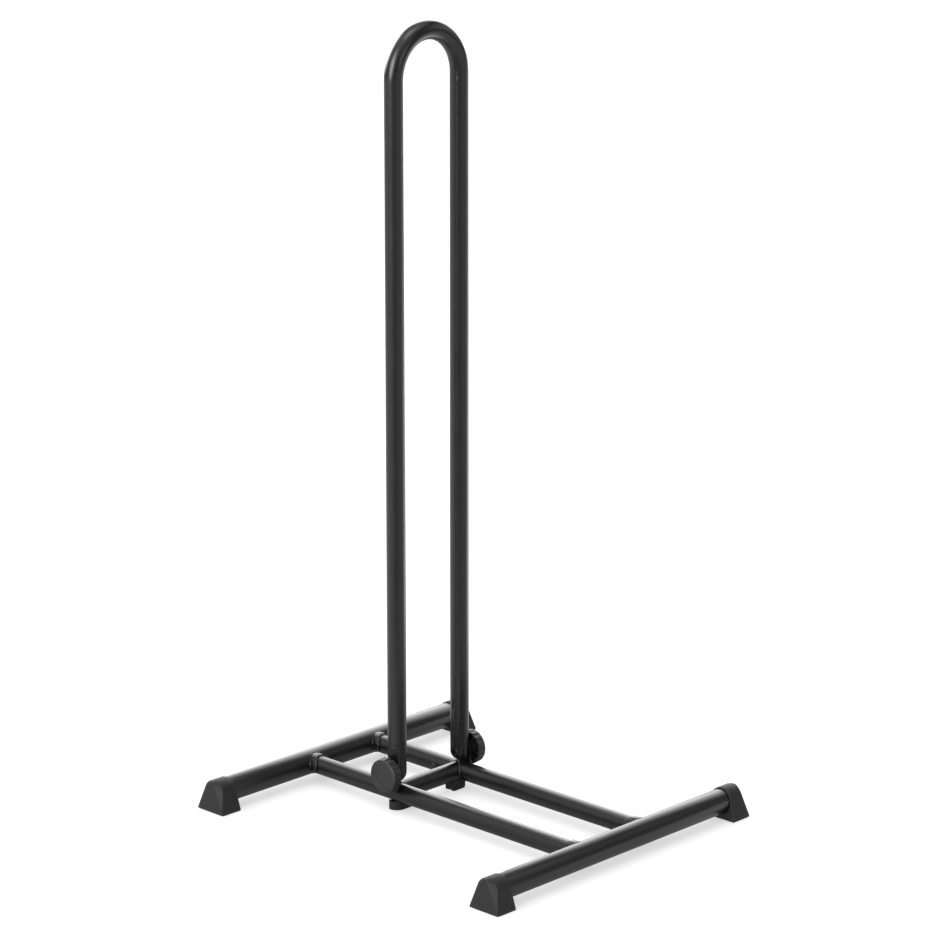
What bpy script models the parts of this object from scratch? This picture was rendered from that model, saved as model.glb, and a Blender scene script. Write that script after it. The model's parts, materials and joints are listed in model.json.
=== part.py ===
"""Folding bike stand: a tube hoop holds a wheel upright and folds flat over a two-rail base.

Sizes are in metres. +X runs along the crossbars, -Y is the front, +Z is up, and the origin is on the
floor below the middle of the base. Left is -X and right is +X, as seen from the front.
"""
import math

import bmesh
import bpy
from mathutils import Matrix

# Gaps and clearances
GAP = 0.0003                # between pieces that touch, are welded or are pressed together
SLIP = 0.0003               # radial play of a tube or bolt in its hole

# Crossbars
BAR_RADIUS = 0.0127
BAR_WALL = 0.0015
BAR_SPACING = 0.380         # from one crossbar's axis to the other's
BASE_WIDTH = 0.3675         # over the outer faces of the end feet
BAR_HEIGHT = 0.0185         # axis of the crossbars, rails and link tube above the floor

# Hoop, rails and link tube, all of one tube
TUBE_RADIUS = 0.0095
TUBE_WALL = 0.0012
LEG_SPACING = 0.090         # from the axis of one hoop leg or rail to the other's
HOOP_TOP = 0.792            # highest point of the bend
HINGE_Y = 0.062             # plane of the upright hoop, behind the middle of the base
HINGE_CLEARANCE = 0.002     # from a rail up to the ball end of a hinge fitting
LEG_SEAM_HEIGHT = 0.0705    # where a hoop leg ends on its hinge fitting

# Hinge fittings
SPIGOT_LENGTH = 0.025
SPIGOT_CHAMFER = 0.001
FLAT_DEPTH = 0.0033         # how far the flat face lies inside the round
FLAT_BELOW_SEAM = 0.0038
HEAD_POCKET_SINK = 0.001    # bolt head below the round face

# Hinge plates
PLATE_THICKNESS = 0.003
PLATE_HALF_WIDTH = 0.0089
PLATE_FOOT_HEIGHT = 0.0215  # lower edge of the plate on the rail's shoulder

# Hinge bolts
BOLT_RADIUS = 0.003
BOLT_HEAD_RADIUS = 0.0047
BOLT_HEAD_LENGTH = 0.0045
BOLT_CHAMFER = 0.0006
SOCKET_FLATS = 0.005        # across the flats of the hexagon socket
SOCKET_DEPTH = 0.0025
BOLT_TIP_GAP = 0.0006       # from the bolt's tip to the far end of the knob insert

# Knobs
KNOB_RADIUS = 0.0173        # where the rounded edge of the face ends
KNOB_BACK_RADIUS = 0.0181
KNOB_LENGTH = 0.0100
KNOB_FRONT_WALL = 0.0026
KNOB_RIM_WALL = 0.0010      # below a flute
KNOB_EDGE_WIDTH = 0.0035    # of the face's rounded edge, across
KNOB_EDGE_DEPTH = 0.0012    # of the same edge, along the axis
KNOB_HUB_RADIUS = 0.0078
RIM_SET_BACK = 0.0003       # rim's back edge in front of the hub's face
FLUTES = 16
FLUTE_FLOOR_RADIUS = 0.0169
FLUTE_DEPTH = 0.0014        # before the knob's round side cuts off the crests
POINTS_PER_FLUTE = 6
INSERT_RADIUS = 0.0055
INSERT_LENGTH = 0.006
WASHER_RADIUS = 0.0065
WASHER_THICKNESS = 0.0008

# Rail saddles
SADDLE_WALL = 0.0014
SADDLE_LENGTH = 0.0087      # from the crossbar to the saddle's front edge
SADDLE_DROP = 0.0055        # how far its sides reach below the rail's axis

# Plugs on the rails' inner sides
PLUG_BEHIND_HINGE = 0.028
PLUG_RADIUS = 0.0018
PLUG_LENGTH = 0.0025        # of the stem, from the head's back
PLUG_HEAD_RADIUS = 0.0027
PLUG_HEAD_HEIGHT = 0.0009

# End feet
FOOT_TOP_WALL = 0.001       # over the crossbar
FOOT_HALF_WIDTH = 0.0193
FOOT_LENGTH = 0.0259
FOOT_OUTER_LEAN = 0.0025    # outer face, inboard at the top
FOOT_INNER_LEAN = 0.0024    # inner face, outboard at the top
FOOT_NOSE_DEPTH = 0.0045    # over which the foot narrows to its outer face
FOOT_NOSE_HALF_WIDTH = 0.0186
FOOT_NOSE_RADIUS = 0.0058   # of the outer face's round top
FOOT_NOSE_HEIGHT = 0.0258   # of the middle of that round
FOOT_OUTER_EDGE = 0.0015
FOOT_EDGE = 0.0012
FOOT_END_WALL = 0.0088      # from the tube's end to the outer face at the sole

# Middle feet, moulded pads seated below the corners between rails and link tube
PAD_LENGTH = 0.0225         # along X
PAD_WIDTH = 0.0122          # along Y
PAD_INBOARD = 0.004         # pad's middle from the rail's axis
PAD_FORWARD = 0.0008        # pad's middle in front of the hinge
PAD_TOP = 0.0140            # height before the tubes' seats are cut in it
PAD_FRONT_CORNER = 0.010    # outer front upright corner, seen from above
PAD_REAR_CORNER = 0.0015
PAD_EDGE = 0.0008
PAD_NOTCH_WIDTH = 0.005
PAD_NOTCH_DEPTH = 0.0009
PAD_NOTCH_REACH = 0.004

# Fineness of the round shapes
TUBE_SIDES = 28
BEND_STEPS = 24
ROUND_SIDES = 28
SMALL_SIDES = 16
KNOB_SIDES = 48
DOME_STEPS = 4
BALL_STEPS = 7
ARC_STEPS = 14
CORNER_STEPS = 6
EDGE_STEPS = 2
MERGE = 0.00001
SMOOTH_ANGLE = math.radians(35)
CUTTER_MARGIN = 0.002       # cutters stand this far out of what they cut

# Places that follow from the sizes
LEG_X = LEG_SPACING / 2
BAR_Y = BAR_SPACING / 2
HINGE_HEIGHT = BAR_HEIGHT + 2 * TUBE_RADIUS + HINGE_CLEARANCE
BEND_RADIUS = LEG_X
BEND_HEIGHT = HOOP_TOP - TUBE_RADIUS - BEND_RADIUS
SADDLE_RADIUS = TUBE_RADIUS + SLIP + SADDLE_WALL
PLUG_Y = HINGE_Y + PLUG_BEHIND_HINGE
FLAT_X = TUBE_RADIUS - FLAT_DEPTH
PLATE_X = FLAT_X + GAP
WASHER_X = PLATE_X + PLATE_THICKNESS + GAP
HUB_X = WASHER_X + WASHER_THICKNESS + GAP
KNOB_X = HUB_X + RIM_SET_BACK
HEAD_X = HEAD_POCKET_SINK - TUBE_RADIUS
BOLT_TIP_X = HUB_X + INSERT_LENGTH - BOLT_TIP_GAP
FOOT_X = BASE_WIDTH / 2
FOOT_TOP_RADIUS = BAR_RADIUS + SLIP + FOOT_TOP_WALL
BAR_HALF = FOOT_X - FOOT_END_WALL - GAP

# Turns that lay a shape's own axes along the stand's
ALONG_X = Matrix.Rotation(math.pi / 2, 4, "Y")
ALONG_Y = Matrix.Rotation(-math.pi / 2, 4, "X")
OUTLINE_ACROSS_X = Matrix.Rotation(math.pi / 2, 4, "Z") @ Matrix.Rotation(math.pi / 2, 4, "X")

SIDES = {"left": -1, "right": 1}
ENDS = {"front": -1, "rear": 1}


def clear_scene():
    for obj in list(bpy.data.objects):
        bpy.data.objects.remove(obj, do_unlink=True)


def new_collection(name):
    collection = bpy.data.collections.new(name)
    bpy.context.scene.collection.children.link(collection)
    return collection


def new_material(name, grey, roughness, metallic=0.0, colour=None):
    material = bpy.data.materials.new(name)
    material.use_nodes = True
    shader = material.node_tree.nodes["Principled BSDF"]
    base = colour or (grey, grey, grey)
    shader.inputs["Base Color"].default_value = (*base, 1.0)
    shader.inputs["Roughness"].default_value = roughness
    shader.inputs["Metallic"].default_value = metallic
    return material


def mesh_from(fill, name):
    """A mesh filled by one bmesh function."""
    mesh = bpy.data.meshes.new(name)
    bm = bmesh.new()
    fill(bm)
    bmesh.ops.recalc_face_normals(bm, faces=bm.faces)
    bm.to_mesh(mesh)
    bm.free()
    return mesh


def cylinder(radius, length, sides=SMALL_SIDES):
    """A closed cylinder along Z with its middle at the origin."""
    def fill(bm):
        bmesh.ops.create_cone(bm, cap_ends=True, segments=sides, radius1=radius, radius2=radius, depth=length)
    return mesh_from(fill, "cylinder")


def box(size_x, size_y, size_z):
    """A closed box with its middle at the origin."""
    def fill(bm):
        bmesh.ops.create_cube(bm, size=1.0, matrix=Matrix.Diagonal((size_x, size_y, size_z, 1.0)))
    return mesh_from(fill, "box")


def cut(blank, cutter_mesh, matrix, operation="DIFFERENCE"):
    """Take a cutter's shape out of a blank, or with INTERSECT keep only what lies inside it."""
    cutter = bpy.data.objects.new("cutter", cutter_mesh)
    cutter.matrix_world = matrix
    cutter.hide_render = True
    cutter.display_type = "WIRE"
    CUTTERS.objects.link(cutter)
    boolean = blank.modifiers.new("cut", "BOOLEAN")
    boolean.operation = operation
    boolean.solver = "EXACT"
    boolean.object = cutter


def blank_of(mesh):
    """A loose object that modifiers can work on."""
    blank = bpy.data.objects.new("blank", mesh)
    CUTTERS.objects.link(blank)
    return blank


def bake(blank, name, matrix=Matrix.Identity(4)):
    """The blank's shape as a finished mesh, shaded smooth between its sharp edges."""
    depsgraph = bpy.context.evaluated_depsgraph_get()
    mesh = bpy.data.meshes.new_from_object(blank.evaluated_get(depsgraph), depsgraph=depsgraph)
    mesh.name = name
    mesh.transform(matrix)
    mesh.shade_smooth()
    mesh.set_sharp_from_angle(angle=SMOOTH_ANGLE)
    for obj in list(CUTTERS.objects):
        bpy.data.objects.remove(obj, do_unlink=True)
    return mesh


def turned(profile, closed=False, steps=ROUND_SIDES):
    """A loose object turned about Z. The profile of (radius, height) runs down its outer side."""
    mesh = bpy.data.meshes.new("profile")
    points = [(radius, 0.0, height) for radius, height in profile]
    edges = [(i, i + 1) for i in range(len(points) - 1)]
    if closed:
        edges.append((len(points) - 1, 0))
    mesh.from_pydata(points, edges, [])
    blank = blank_of(mesh)
    screw = blank.modifiers.new("turn", "SCREW")
    screw.steps = steps
    screw.render_steps = steps
    screw.use_merge_vertices = True
    screw.merge_threshold = MERGE
    return blank


def curve_object(points, cyclic, dimensions):
    """A curve through straight pieces."""
    curve = bpy.data.curves.new("curve", "CURVE")
    curve.dimensions = dimensions
    spline = curve.splines.new("POLY")
    spline.points.add(len(points) - 1)
    for point, place in zip(spline.points, points):
        point.co = (*place, 1.0)
    spline.use_cyclic_u = cyclic
    obj = bpy.data.objects.new("curve", curve)
    CUTTERS.objects.link(obj)
    return obj


def mesh_of_curve(obj):
    """The curve's surface as a mesh with its caps welded on."""
    depsgraph = bpy.context.evaluated_depsgraph_get()
    mesh = bpy.data.meshes.new_from_object(obj.evaluated_get(depsgraph), depsgraph=depsgraph)
    bpy.data.objects.remove(obj, do_unlink=True)
    bm = bmesh.new()
    bm.from_mesh(mesh)
    bmesh.ops.remove_doubles(bm, verts=bm.verts, dist=MERGE)
    bmesh.ops.recalc_face_normals(bm, faces=bm.faces)
    bm.to_mesh(mesh)
    bm.free()
    return mesh


def plate_mesh(outline, thickness):
    """A flat outline in the XY plane, given thickness evenly along Z."""
    obj = curve_object([(x, y, 0.0) for x, y in outline], True, "2D")
    obj.data.fill_mode = "BOTH"
    obj.data.extrude = thickness / 2
    return mesh_of_curve(obj)


def open_tube(points, radius):
    """The outer skin of a tube along a route, open at both ends."""
    obj = curve_object(points, False, "3D")
    obj.data.fill_mode = "FULL"
    obj.data.bevel_depth = radius
    obj.data.bevel_resolution = TUBE_SIDES // 2 - 2
    obj.data.use_fill_caps = False
    return mesh_of_curve(obj)


def tube(points, radius, wall):
    """A loose hollow tube with its wall inside the skin."""
    blank = blank_of(open_tube(points, radius))
    solidify = blank.modifiers.new("wall", "SOLIDIFY")
    solidify.thickness = wall
    solidify.offset = -1.0
    solidify.use_even_offset = True
    return blank


def arc(centre_x, centre_y, radius, start, end, steps):
    """Points along an arc, both ends included, angles in radians."""
    angles = [start + (end - start) * i / steps for i in range(steps + 1)]
    return [(centre_x + radius * math.cos(a), centre_y + radius * math.sin(a)) for a in angles]


def place(name, mesh, material, matrix, parent=None):
    """Put a finished mesh where it belongs. The matrix is in the parent's frame."""
    if not mesh.materials:
        mesh.materials.append(material)
    obj = bpy.data.objects.new(name, mesh)
    obj.parent = parent
    obj.matrix_local = matrix
    STAND.objects.link(obj)
    return obj


def pivot(name, location, parent=None):
    """An empty on a joint's axis."""
    empty = bpy.data.objects.new(name, None)
    empty.parent = parent
    empty.location = location
    empty.empty_display_size = TUBE_RADIUS
    STAND.objects.link(empty)
    return empty


def shift(x, y, z):
    return Matrix.Translation((x, y, z))


def facing(side):
    """Turns a piece that is modelled for the +X side to face the given side."""
    return Matrix.Identity(4) if side > 0 else Matrix.Rotation(math.pi, 4, "Z")


# Base

def crossbar_mesh():
    return bake(tube([(-BAR_HALF, 0, 0), (BAR_HALF, 0, 0)], BAR_RADIUS, BAR_WALL), "crossbar")


def foot_outline(half_width, radius, height):
    """The foot seen from its end: a flat sole, two straight sides and a round top."""
    corner = math.atan2(-height, half_width)
    tangent = corner + math.acos(radius / math.hypot(half_width, height))
    top = arc(0.0, height, radius, tangent, math.pi - tangent, ARC_STEPS)
    return [(-half_width, 0.0), (half_width, 0.0)] + top


def end_foot_mesh():
    """A foot with its sole at Z 0 and its outer face towards +X, around the crossbar's end."""
    outline = foot_outline(FOOT_HALF_WIDTH, FOOT_TOP_RADIUS, BAR_HEIGHT)
    nose = foot_outline(FOOT_NOSE_HALF_WIDTH, FOOT_NOSE_RADIUS, FOOT_NOSE_HEIGHT)
    straight = FOOT_LENGTH - FOOT_NOSE_DEPTH
    mesh = plate_mesh(outline, straight)
    mesh.transform(shift(FOOT_X - FOOT_LENGTH + straight / 2, 0, 0) @ OUTLINE_ACROSS_X)

    bm = bmesh.new()
    bm.from_mesh(mesh)
    bmesh.ops.dissolve_limit(bm, angle_limit=math.radians(1), verts=bm.verts, edges=bm.edges)
    blunt = max(bm.faces, key=lambda f: f.calc_center_median().x)
    grown = bmesh.ops.extrude_face_region(bm, geom=[blunt])["geom"]
    bmesh.ops.delete(bm, geom=[blunt], context="FACES_ONLY")
    for vert in [v for v in grown if isinstance(v, bmesh.types.BMVert)]:
        here = min(range(len(outline)), key=lambda i: math.dist(outline[i], vert.co.yz))
        vert.co = (FOOT_X, *nose[here])
    top = BAR_HEIGHT + FOOT_TOP_RADIUS
    middle = FOOT_X - FOOT_LENGTH / 2
    for vert in bm.verts:
        lean = -FOOT_OUTER_LEAN if vert.co.x > middle else FOOT_INNER_LEAN
        vert.co.x += lean * vert.co.z / top
    inner_edges = [e for e in bm.edges if all(v.co.x < middle for v in e.verts)]
    sole_edges = [e for e in bm.edges if all(v.co.z < MERGE for v in e.verts) and e not in inner_edges
                  and abs(e.verts[0].co.x - e.verts[1].co.x) > MERGE]
    bmesh.ops.bevel(bm, geom=inner_edges + sole_edges, offset=FOOT_EDGE, segments=EDGE_STEPS, profile=0.5,
                    affect="EDGES", clamp_overlap=True)
    outer_edges = [e for e in bm.edges if len(e.link_faces) == 2
                   and sum(f.normal.x > 0.9 for f in e.link_faces) == 1
                   and all(v.co.x > middle for v in e.verts)]
    bmesh.ops.bevel(bm, geom=outer_edges, offset=FOOT_OUTER_EDGE, segments=EDGE_STEPS + 1, profile=0.5,
                    affect="EDGES", clamp_overlap=True)
    bm.to_mesh(mesh)
    bm.free()

    blank = blank_of(mesh)
    pocket_end = BAR_HALF + GAP
    pocket = FOOT_LENGTH + CUTTER_MARGIN
    cut(blank, cylinder(BAR_RADIUS + SLIP, pocket, ROUND_SIDES),
        shift(pocket_end - pocket / 2, 0, BAR_HEIGHT) @ ALONG_X)
    return bake(blank, "end_foot", shift(-FOOT_X, 0, 0))


def rail_mesh(side):
    """A rail along Y with both ends coped to the crossbars and a plug hole in its inner side."""
    blank = tube([(0, -BAR_Y, 0), (0, BAR_Y, 0)], TUBE_RADIUS, TUBE_WALL)
    for end in ENDS.values():
        cope = cylinder(BAR_RADIUS + GAP, 4 * TUBE_RADIUS, 2 * ROUND_SIDES)
        cut(blank, cope, shift(0, end * BAR_Y, 0) @ ALONG_X)
    cut(blank, cylinder(PLUG_RADIUS + SLIP, TUBE_RADIUS), shift(-side * TUBE_RADIUS, PLUG_Y, 0) @ ALONG_X)
    return bake(blank, "rail")


def link_tube_mesh():
    """The tube between the rails, with both ends coped to them."""
    blank = tube([(-LEG_X, 0, 0), (LEG_X, 0, 0)], TUBE_RADIUS, TUBE_WALL)
    for side in SIDES.values():
        cope = cylinder(TUBE_RADIUS + GAP, 4 * TUBE_RADIUS, TUBE_SIDES)
        cut(blank, cope, shift(side * LEG_X, 0, 0) @ ALONG_Y)
    return bake(blank, "rail_link_tube")


def rail_saddle_mesh():
    """A saddle over a rail's end, open below, its front edge following the crossbar. It faces +Y.

    The origin is on the crossbar's axis.
    """
    blank = tube([(0, 0, 0), (0, SADDLE_LENGTH + BAR_RADIUS, 0)], SADDLE_RADIUS, SADDLE_WALL)
    cut(blank, cylinder(BAR_RADIUS + GAP, 4 * SADDLE_RADIUS, 2 * ROUND_SIDES), ALONG_X)
    cut(blank, cylinder(BAR_RADIUS, 4 * SADDLE_RADIUS, 2 * ROUND_SIDES), shift(0, SADDLE_LENGTH, 0) @ ALONG_X,
        "INTERSECT")
    below = 2 * SADDLE_RADIUS
    cut(blank, box(4 * SADDLE_RADIUS, 6 * SADDLE_RADIUS, below), shift(0, 0, -SADDLE_DROP - below / 2))
    return bake(blank, "rail_saddle")


def rail_plug_mesh():
    """A plug whose low round head faces +X. The origin is on the rail's axis."""
    seat = TUBE_RADIUS + GAP
    sphere = (PLUG_HEAD_RADIUS ** 2 + PLUG_HEAD_HEIGHT ** 2) / (2 * PLUG_HEAD_HEIGHT)
    spread = math.asin(PLUG_HEAD_RADIUS / sphere)
    profile = [(sphere * math.sin(spread * i / DOME_STEPS),
                seat + PLUG_HEAD_HEIGHT - sphere * (1 - math.cos(spread * i / DOME_STEPS)))
               for i in range(DOME_STEPS + 1)]
    profile += [(PLUG_RADIUS, seat), (PLUG_RADIUS, seat - PLUG_LENGTH), (0.0, seat - PLUG_LENGTH)]
    return bake(turned(profile, steps=SMALL_SIDES), "rail_plug", ALONG_X)


def hinge_plate_mesh():
    """An upright ear with a round top, coped to the rail's outer shoulder. Origin on the hinge axis."""
    foot = PLATE_FOOT_HEIGHT - HINGE_HEIGHT
    outline = [(-PLATE_HALF_WIDTH, foot), (PLATE_HALF_WIDTH, foot)]
    outline += arc(0.0, 0.0, PLATE_HALF_WIDTH, 0.0, math.pi, ARC_STEPS)
    mesh = plate_mesh(outline, PLATE_THICKNESS)
    mesh.transform(shift(PLATE_X + PLATE_THICKNESS / 2, 0, 0) @ OUTLINE_ACROSS_X)
    blank = blank_of(mesh)
    cut(blank, cylinder(TUBE_RADIUS + GAP, 4 * PLATE_HALF_WIDTH, 2 * TUBE_SIDES),
        shift(0, 0, BAR_HEIGHT - HINGE_HEIGHT) @ ALONG_Y)
    cut(blank, cylinder(BOLT_RADIUS + SLIP, 4 * PLATE_THICKNESS, ROUND_SIDES),
        shift(PLATE_X + PLATE_THICKNESS / 2, 0, 0) @ ALONG_X)
    return bake(blank, "hinge_plate")


def middle_foot_mesh(side):
    """A pad whose top is saddled for the rail and the link tube, with a notch in its inner sole edge.

    The origin is on the floor below the rail's axis. Its outer side faces the given side.
    """
    middle = -side * PAD_INBOARD
    outer = PAD_LENGTH / 2
    half = PAD_WIDTH / 2
    outline = [(-outer, half), (-outer, -half)]
    outline += arc(outer - PAD_FRONT_CORNER, PAD_FRONT_CORNER - half, PAD_FRONT_CORNER, -math.pi / 2, 0.0,
                   CORNER_STEPS)
    outline += arc(outer - PAD_REAR_CORNER, half - PAD_REAR_CORNER, PAD_REAR_CORNER, 0.0, math.pi / 2,
                   CORNER_STEPS // 2)
    outline = [(side * x, y) for x, y in outline]
    mesh = plate_mesh(outline, PAD_TOP)
    mesh.transform(shift(middle, 0, PAD_TOP / 2))

    bm = bmesh.new()
    bm.from_mesh(mesh)
    bmesh.ops.dissolve_limit(bm, angle_limit=math.radians(1), verts=bm.verts, edges=bm.edges)
    sole_edges = [e for e in bm.edges if all(v.co.z < MERGE for v in e.verts)]
    bmesh.ops.bevel(bm, geom=sole_edges, offset=PAD_EDGE, segments=EDGE_STEPS, profile=0.5, affect="EDGES",
                    clamp_overlap=True)
    bm.to_mesh(mesh)
    bm.free()

    blank = blank_of(mesh)
    cut(blank, cylinder(TUBE_RADIUS + GAP, 2 * PAD_WIDTH, 2 * TUBE_SIDES), shift(0, 0, BAR_HEIGHT) @ ALONG_Y)
    cut(blank, cylinder(TUBE_RADIUS + GAP, 2 * PAD_LENGTH, 2 * TUBE_SIDES),
        shift(middle, PAD_FORWARD, BAR_HEIGHT) @ ALONG_X)
    notch = box(2 * PAD_NOTCH_REACH, PAD_NOTCH_WIDTH, 2 * PAD_NOTCH_DEPTH)
    cut(blank, notch, shift(middle - side * outer, 0, 0))
    return bake(blank, "middle_foot")


# Hoop

def hoop_mesh():
    """The hoop in its own plane, with the origin in the middle of the hinge axis."""
    end = LEG_SEAM_HEIGHT + GAP - HINGE_HEIGHT
    bend = arc(0.0, BEND_HEIGHT - HINGE_HEIGHT, BEND_RADIUS, 0.0, math.pi, BEND_STEPS)
    route = [(LEG_X, 0.0, end)]
    route += [(x, 0.0, z) for x, z in bend]
    route.append((-LEG_X, 0.0, end))
    return bake(tube(route, TUBE_RADIUS, TUBE_WALL), "wheel_hoop")


def hinge_fitting_mesh():
    """A ball-ended fitting whose spigot plugs the hoop leg. Its flat faces +X, origin on the hinge axis."""
    seam = LEG_SEAM_HEIGHT - HINGE_HEIGHT
    spigot = TUBE_RADIUS - TUBE_WALL - SLIP
    top = seam + SPIGOT_LENGTH
    profile = [(0.0, top), (spigot - SPIGOT_CHAMFER, top), (spigot, top - SPIGOT_CHAMFER), (spigot, seam)]
    profile.append((TUBE_RADIUS, seam))
    profile += arc(0.0, 0.0, TUBE_RADIUS, 0.0, -math.pi / 2, BALL_STEPS)
    blank = turned(profile)

    recess_top = seam - FLAT_BELOW_SEAM
    recess = recess_top + TUBE_RADIUS + CUTTER_MARGIN
    depth = FLAT_DEPTH + CUTTER_MARGIN
    cut(blank, box(depth, 4 * TUBE_RADIUS, recess), shift(FLAT_X + depth / 2, 0, recess_top - recess / 2))
    pocket_end = HEAD_X + BOLT_HEAD_LENGTH + GAP
    pocket = pocket_end + TUBE_RADIUS + CUTTER_MARGIN
    cut(blank, cylinder(BOLT_HEAD_RADIUS + SLIP, pocket, ROUND_SIDES),
        shift(pocket_end - pocket / 2, 0, 0) @ ALONG_X)
    cut(blank, cylinder(BOLT_RADIUS + SLIP, 4 * TUBE_RADIUS, SMALL_SIDES), ALONG_X)
    return bake(blank, "hinge_fitting")


def hinge_bolt_mesh():
    """A cap bolt along X with its head in the fitting's pocket. Origin on the leg's axis."""
    neck = HEAD_X + BOLT_HEAD_LENGTH
    profile = [(0.0, BOLT_TIP_X), (BOLT_RADIUS - BOLT_CHAMFER, BOLT_TIP_X),
               (BOLT_RADIUS, BOLT_TIP_X - BOLT_CHAMFER), (BOLT_RADIUS, neck), (BOLT_HEAD_RADIUS, neck),
               (BOLT_HEAD_RADIUS, HEAD_X + BOLT_CHAMFER), (BOLT_HEAD_RADIUS - BOLT_CHAMFER, HEAD_X),
               (0.0, HEAD_X)]
    blank = turned(profile, steps=SMALL_SIDES)
    hexagon = SOCKET_FLATS / 2 / math.cos(math.pi / 6)
    socket = SOCKET_DEPTH + CUTTER_MARGIN
    cut(blank, cylinder(hexagon, socket, 6), shift(0, 0, HEAD_X + SOCKET_DEPTH - socket / 2))
    return bake(blank, "hinge_bolt", ALONG_X)


# Knobs

def knob_mesh():
    """A fluted knob facing +X, hollow behind around a hub. Origin on the leg's axis."""
    front = KNOB_X + KNOB_LENGTH
    count = FLUTES * POINTS_PER_FLUTE
    outline = []
    for i in range(count):
        angle = 2 * math.pi * i / count
        radius = FLUTE_FLOOR_RADIUS + FLUTE_DEPTH * (1 + math.cos(FLUTES * angle)) / 2
        outline.append((radius * math.cos(angle), radius * math.sin(angle)))
    mesh = plate_mesh(outline, KNOB_LENGTH + 2 * CUTTER_MARGIN)
    mesh.transform(shift(KNOB_X + KNOB_LENGTH / 2, 0, 0) @ OUTLINE_ACROSS_X)
    blank = blank_of(mesh)

    profile = [(0.0, KNOB_X), (0.0, front)]
    for i in range(CORNER_STEPS + 1):
        angle = math.pi / 2 * (1 - i / CORNER_STEPS)
        profile.append((KNOB_RADIUS - KNOB_EDGE_WIDTH * (1 - math.cos(angle)),
                        front - KNOB_EDGE_DEPTH * (1 - math.sin(angle))))
    profile.append((KNOB_BACK_RADIUS, KNOB_X))
    cut(blank, baked_cutter(turned(profile, closed=True, steps=KNOB_SIDES)), ALONG_X, "INTERSECT")

    groove_end = front - KNOB_FRONT_WALL
    rim = FLUTE_FLOOR_RADIUS - KNOB_RIM_WALL
    groove = turned([(rim, groove_end), (rim, KNOB_X - CUTTER_MARGIN), (0.0, KNOB_X - CUTTER_MARGIN),
                     (0.0, HUB_X), (KNOB_HUB_RADIUS, HUB_X), (KNOB_HUB_RADIUS, groove_end)], closed=True)
    groove_mesh = baked_cutter(groove)
    cut(blank, groove_mesh, ALONG_X)
    pocket = INSERT_LENGTH + GAP + CUTTER_MARGIN
    cut(blank, cylinder(INSERT_RADIUS + SLIP, pocket, ROUND_SIDES),
        shift(HUB_X - CUTTER_MARGIN + pocket / 2, 0, 0) @ ALONG_X)
    return bake(blank, "knob")


def baked_cutter(loose):
    """A turned cutter as a plain mesh."""
    depsgraph = bpy.context.evaluated_depsgraph_get()
    mesh = bpy.data.meshes.new_from_object(loose.evaluated_get(depsgraph), depsgraph=depsgraph)
    bpy.data.objects.remove(loose, do_unlink=True)
    return mesh


def ring(inner, outer, start, end, name):
    """A plain ring about X between two places along it."""
    profile = [(outer, end), (outer, start), (inner, start), (inner, end)]
    return bake(turned(profile, closed=True), name, ALONG_X)


def build_base(paint, rubber, plastic):
    bar = crossbar_mesh()
    foot = end_foot_mesh()
    saddle = rail_saddle_mesh()
    plug = rail_plug_mesh()
    plate = hinge_plate_mesh()
    for end, toward in ENDS.items():
        place(f"{end}_crossbar", bar, paint, shift(0, toward * BAR_Y, BAR_HEIGHT))
        for side, sign in SIDES.items():
            name = f"{end}_{side}"
            place(f"{name}_foot", foot, rubber, shift(sign * FOOT_X, toward * BAR_Y, 0) @ facing(sign))
            inward = facing(-toward)
            joint = shift(sign * LEG_X, toward * BAR_Y, BAR_HEIGHT)
            place(f"{name}_rail_saddle", saddle, paint, joint @ inward)
    place("rail_link_tube", link_tube_mesh(), paint, shift(0, HINGE_Y, BAR_HEIGHT))
    for side, sign in SIDES.items():
        place(f"{side}_rail", rail_mesh(sign), paint, shift(sign * LEG_X, 0, BAR_HEIGHT))
        place(f"{side}_rail_plug", plug, plastic, shift(sign * LEG_X, PLUG_Y, BAR_HEIGHT) @ facing(-sign))
        place(f"{side}_hinge_plate", plate, paint, shift(sign * LEG_X, HINGE_Y, HINGE_HEIGHT) @ facing(sign))
        place(f"{side}_middle_foot", middle_foot_mesh(sign), rubber,
              shift(sign * LEG_X, HINGE_Y - PAD_FORWARD, 0))


def build_hoop(paint, steel):
    axis = pivot("hoop_pivot", (0, HINGE_Y, HINGE_HEIGHT))
    place("wheel_hoop", hoop_mesh(), paint, Matrix.Identity(4), axis)
    fitting = hinge_fitting_mesh()
    bolt = hinge_bolt_mesh()
    for side, sign in SIDES.items():
        place(f"{side}_hinge_fitting", fitting, paint, shift(sign * LEG_X, 0, 0) @ facing(sign), axis)
        place(f"{side}_hinge_bolt", bolt, steel, shift(sign * LEG_X, 0, 0) @ facing(sign), axis)
    return axis


def build_knobs(axis, plastic, brass, steel):
    knob = knob_mesh()
    insert = ring(BOLT_RADIUS + SLIP, INSERT_RADIUS, HUB_X, HUB_X + INSERT_LENGTH, "knob_insert")
    washer = ring(BOLT_RADIUS + SLIP, WASHER_RADIUS, WASHER_X, WASHER_X + WASHER_THICKNESS, "knob_washer")
    for side, sign in SIDES.items():
        turn = pivot(f"{side}_knob_pivot", (sign * LEG_X, 0, 0), axis)
        place(f"{side}_knob", knob, plastic, facing(sign), turn)
        place(f"{side}_knob_insert", insert, brass, facing(sign), turn)
        place(f"{side}_knob_washer", washer, steel, facing(sign), turn)


clear_scene()
STAND = new_collection("folding_bike_stand")
CUTTERS = new_collection("cutters")

black_paint = new_material("black_paint", 0.028, 0.32)
black_rubber = new_material("black_rubber", 0.05, 0.62)
black_plastic = new_material("black_plastic", 0.055, 0.55)
black_steel = new_material("black_steel", 0.06, 0.35, 0.9)
insert_brass = new_material("insert_brass", 0.5, 0.35, 1.0, (0.62, 0.45, 0.18))

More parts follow.
